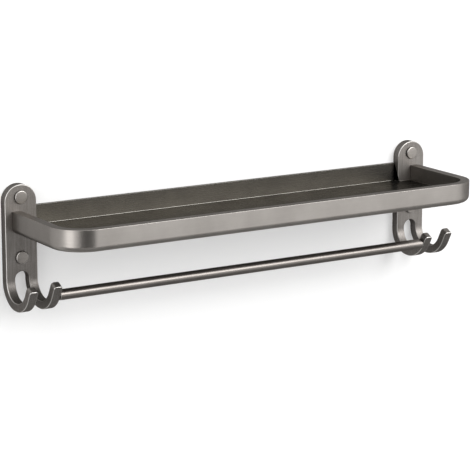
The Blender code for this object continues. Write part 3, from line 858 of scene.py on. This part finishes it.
def countersunkBody(headRadius, length, screw):
    size, radius = screwSizes, screw["radius"]
    across, depth = 2 * headRadius * size["socketShare"], headRadius * size["socketDepthShare"]
    ease, neck = size["edgeRound"], radius - headRadius
    rows = [hexRow(across, -depth), hexRow(across, -ease), hexRow(across + 2 * ease, 0),
            (headRadius - ease, 0), (headRadius, -ease), (coreRadius(radius), neck - ease)]
    rows += threadRows(radius, neck - 2 * ease, -length + ease, screw["pitch"], 0)
    return turnedBody(rows, size["columns"], -depth, -length)


def panHeadBody(headRadius, length, screw):
    size, headHeight, radius = screwSizes, screw["headHeight"], screw["radius"]
    across, depth = headRadius * size["panSocketShare"], headHeight * size["panSocketDepthShare"]
    crownRow = [(headRadius * share, -headHeight * size["crownDrop"] * share ** 3)
                for share in size["crownShares"]]
    rows = [hexRow(across, -depth), hexRow(across, 0)] + crownRow
    rows += [(headRadius, -headHeight), (coreRadius(radius), -headHeight)]
    rows += threadRows(radius, -headHeight - size["neck"], -length, screw["pitch"], screw["pointLength"])
    return turnedBody(rows, size["columns"], -depth, -length)


def fastenerSize(node, aim):
    # largest radius, and length along the aim, of a CAD fastener
    low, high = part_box(node)
    spans = high - low
    axis = [abs(part) for part in aim].index(1)
    return max(spans[i] for i in range(3) if i != axis) / 2, spans[axis]


body = capBody(fastenerSize("screw_cap_left_upper", towardsRoom)[0])
makeFasteners("screwCaps", "screw_cap_", towardsRoom, body, capMetal, capSizes["turnSeed"])
body = panHeadBody(*fastenerSize("wall_screw_left_upper", towardsRoom), wallScrewSizes)
makeFasteners("wallScrews", "wall_screw_", towardsRoom, body, plating, wallScrewSizes["turnSeed"])
body = countersunkBody(*fastenerSize("rail_screw_left_upper", towardsWall), railScrewSizes)
makeFasteners("railScrews", "rail_screw_", towardsWall, body, plating, railScrewSizes["turnSeed"])
body = countersunkBody(*fastenerSize("floor_screw_front_1", downwards), floorScrewSizes)
makeFasteners("floorScrews", "floor_screw_", downwards, body, plating, floorScrewSizes["turnSeed"])


# Studio: a wall and a pale floor, one soft key, one long softbox, and grey cards for the metal

stageSizes = dict(
    wallY=0.3 * mm, wallHalf=3.4, wallTop=2.6, floorZ=-1.15, floorHalf=3.4, floorNear=2.4,
    seeThrough=3 * mm, wallColour="#D2D2D2", wallFill=0.30, floorColour="#A8A7A5", tentColour="#FAFAFA")
white = (1, 1, 1, 1)


def stagePlane(name, corners, material):
    mesh = bpy.data.meshes.new(name)
    mesh.from_pydata(corners, [], [tuple(range(len(corners)))])
    mesh.materials.append(material)
    item = bpy.data.objects.new(name, mesh)
    scene.collection.objects.link(item)
    return item


def uprightCorners(half, y, low, high):
    return [(-half, y, low), (half, y, low), (half, y, high), (-half, y, high)]


def levelCorners(half, near, far, z):
    return [(-half, near, z), (half, near, z), (half, far, z), (-half, far, z)]


def backgroundSeen(tree, rays):
    # 1 for a ray that carries the background to the camera: straight, mirrored or through glass
    seen = addNode(tree, "ShaderNodeMath", {
        0: rays.outputs["Is Camera Ray"], 1: rays.outputs["Is Glossy Ray"]}, operation="MAXIMUM")
    return addNode(tree, "ShaderNodeMath", {
        0: seen.outputs[0], 1: rays.outputs["Is Transmission Ray"]}, operation="MAXIMUM").outputs[0]


def wallMaterial():
    # matt paint that reads as a white background and keeps the soft shadow; seen from behind, or
    # from a hair in front, it lets light through, so that the back of the object stays lit
    material = newMaterial("matt wall paint")
    tree = material.node_tree
    paint = addNode(tree, "ShaderNodeBsdfDiffuse", {"Color": hexColour(stageSizes["wallColour"])})
    glow = addNode(tree, "ShaderNodeEmission", {"Color": white, "Strength": stageSizes["wallFill"]})
    both = addNode(tree, "ShaderNodeAddShader", {0: paint.outputs[0], 1: glow.outputs[0]})
    rays = addNode(tree, "ShaderNodeLightPath")
    front = addNode(tree, "ShaderNodeMixShader", {
        "Fac": backgroundSeen(tree, rays), 1: paint.outputs[0], 2: both.outputs[0]})
    near = addNode(tree, "ShaderNodeMath", {0: rays.outputs["Ray Length"], 1: stageSizes["seeThrough"]},
                   operation="LESS_THAN")
    side = addNode(tree, "ShaderNodeNewGeometry")
    through = addNode(tree, "ShaderNodeMath", {0: near.outputs[0], 1: side.outputs["Backfacing"]},
                      operation="MAXIMUM")
    clear = addNode(tree, "ShaderNodeBsdfTransparent")
    surface = addNode(tree, "ShaderNodeMixShader", {
        "Fac": through.outputs[0], 1: front.outputs[0], 2: clear.outputs[0]})
    addNode(tree, "ShaderNodeOutputMaterial", {"Surface": surface.outputs[0]})
    return material


def mattMaterial(name, colour, clearBack=False):
    # matt paint; with a clear back it hides nothing from the far side
    material = newMaterial(name)
    tree = material.node_tree
    surface = addNode(tree, "ShaderNodeBsdfDiffuse", {"Color": hexColour(colour)})
    if clearBack:
        side = addNode(tree, "ShaderNodeNewGeometry")
        clear = addNode(tree, "ShaderNodeBsdfTransparent")
        surface = addNode(tree, "ShaderNodeMixShader", {
            "Fac": side.outputs["Backfacing"], 1: surface.outputs[0], 2: clear.outputs[0]})
    addNode(tree, "ShaderNodeOutputMaterial", {"Surface": surface.outputs[0]})
    return material


def makeStage():
    size = stageSizes
    bottom, half = size["floorZ"], size["floorHalf"]
    wall = uprightCorners(size["wallHalf"], size["wallY"], bottom, size["wallTop"])
    stagePlane("wall", wall, wallMaterial())
    floor = levelCorners(half, -size["floorNear"], half, bottom)
    stagePlane("floor", floor, mattMaterial("matt floor paint", size["floorColour"], clearBack=True))


makeStage()

# azimuth turns from -Y, the room, towards +X; elevation rises from the horizon
lampSizes = dict(
    key=dict(azimuth=28, elevation=27, distance=2.3, width=1.5, height=1.5, radiance=5.2),
    softbox=dict(azimuth=-66, elevation=10, distance=1.6, width=0.64, height=2.2, radiance=1.38))
cardSizes = dict(
    darkCard=dict(azimuth=-14, elevation=-4, distance=2.7, width=2.35, height=2.2, colour="#464646"),
    sideCard=dict(azimuth=84, elevation=-4, distance=2.2, width=1.6, height=2.2, colour="#B4B4B4"))
# one card lies flat on the wall, a hair proud of it, and one lies level below the shelf
greySizes = dict(reach=2.2, half=1.0, proud=1 * mm, wallGrey="#B6B6B6",
                 lowZ=-0.5, lowHalf=0.9, lowNear=0.75, lowGrey="#848484")


def direction(azimuth, elevation):
    azimuth, elevation = radians(azimuth), radians(elevation)
    return Vector((sin(azimuth) * cos(elevation), -cos(azimuth) * cos(elevation), sin(elevation)))


def facingCentre(size):
    # a place on the given bearing whose local -Z looks back at the object
    away = direction(size["azimuth"], size["elevation"])
    return Matrix.Translation(away * size["distance"]) @ away.to_track_quat("Z", "Y").to_matrix().to_4x4()


def makeLamps():
    for name, size in lampSizes.items():
        lamp = bpy.data.lights.new(name, "AREA")
        lamp.shape = "RECTANGLE"
        lamp.size, lamp.size_y = size["width"], size["height"]
        lamp.energy = size["radiance"] * pi * size["width"] * size["height"]
        item = bpy.data.objects.new(name, lamp)
        item.matrix_world = facingCentre(size)
        scene.collection.objects.link(item)


def mirrorOnly(item):
    # a card that metal mirrors, but that shades nothing
    item.visible_camera = False
    item.visible_diffuse = False
    item.visible_shadow = False


def makeCards():
    for name, size in cardSizes.items():
        turn, half, rise = facingCentre(size), size["width"] / 2, size["height"] / 2
        corners = [turn @ Vector(corner) for corner in levelCorners(half, -rise, rise, 0)]
        mirrorOnly(stagePlane(name, corners, mattMaterial(name, size["colour"])))
    size = greySizes
    y, up = -size["proud"], size["half"]
    corners = uprightCorners(size["reach"], y, -up, up)
    mirrorOnly(stagePlane("wallCard", corners, mattMaterial("grey card", size["wallGrey"])))
    corners = levelCorners(size["lowHalf"], -size["lowNear"], y, size["lowZ"])
    mirrorOnly(stagePlane("lowCard", corners, mattMaterial("low grey card", size["lowGrey"])))


def makeWorld():
    # an even daylight tent; what is seen directly or mirrored is plain white
    world = bpy.data.worlds.new("tent")
    scene.world = world
    world.use_nodes = True
    tree = world.node_tree
    tree.nodes.clear()
    rays = addNode(tree, "ShaderNodeLightPath")
    light = addNode(tree, "ShaderNodeBackground", {
        "Color": hexColour(stageSizes["tentColour"]), "Strength": 1})
    plain = addNode(tree, "ShaderNodeBackground", {"Color": white, "Strength": 1})
    mixed = addNode(tree, "ShaderNodeMixShader", {
        "Fac": backgroundSeen(tree, rays), 1: light.outputs[0], 2: plain.outputs[0]})
    addNode(tree, "ShaderNodeOutputWorld", {"Surface": mixed.outputs[0]})


makeLamps()
makeCards()
makeWorld()


# Camera at the photograph's place
cameraSizes = dict(place=(-1.07455, -1.78608, 0.41900), tilt=-12.461, turn=-31.406, lens=157.87, sensor=36)


def makeCamera():
    size = cameraSizes
    data = bpy.data.cameras.new("camera")
    data.lens, data.sensor_width = size["lens"], size["sensor"]
    item = bpy.data.objects.new("camera", data)
    item.location = size["place"]
    # an unturned camera looks straight down, so level is a quarter turn up
    item.rotation_euler = (quarterTurn + radians(size["tilt"]), 0, radians(size["turn"]))
    scene.collection.objects.link(item)
    scene.camera = item


makeCamera()
scene.view_settings.view_transform = "Standard"
print("stage, light and camera set")
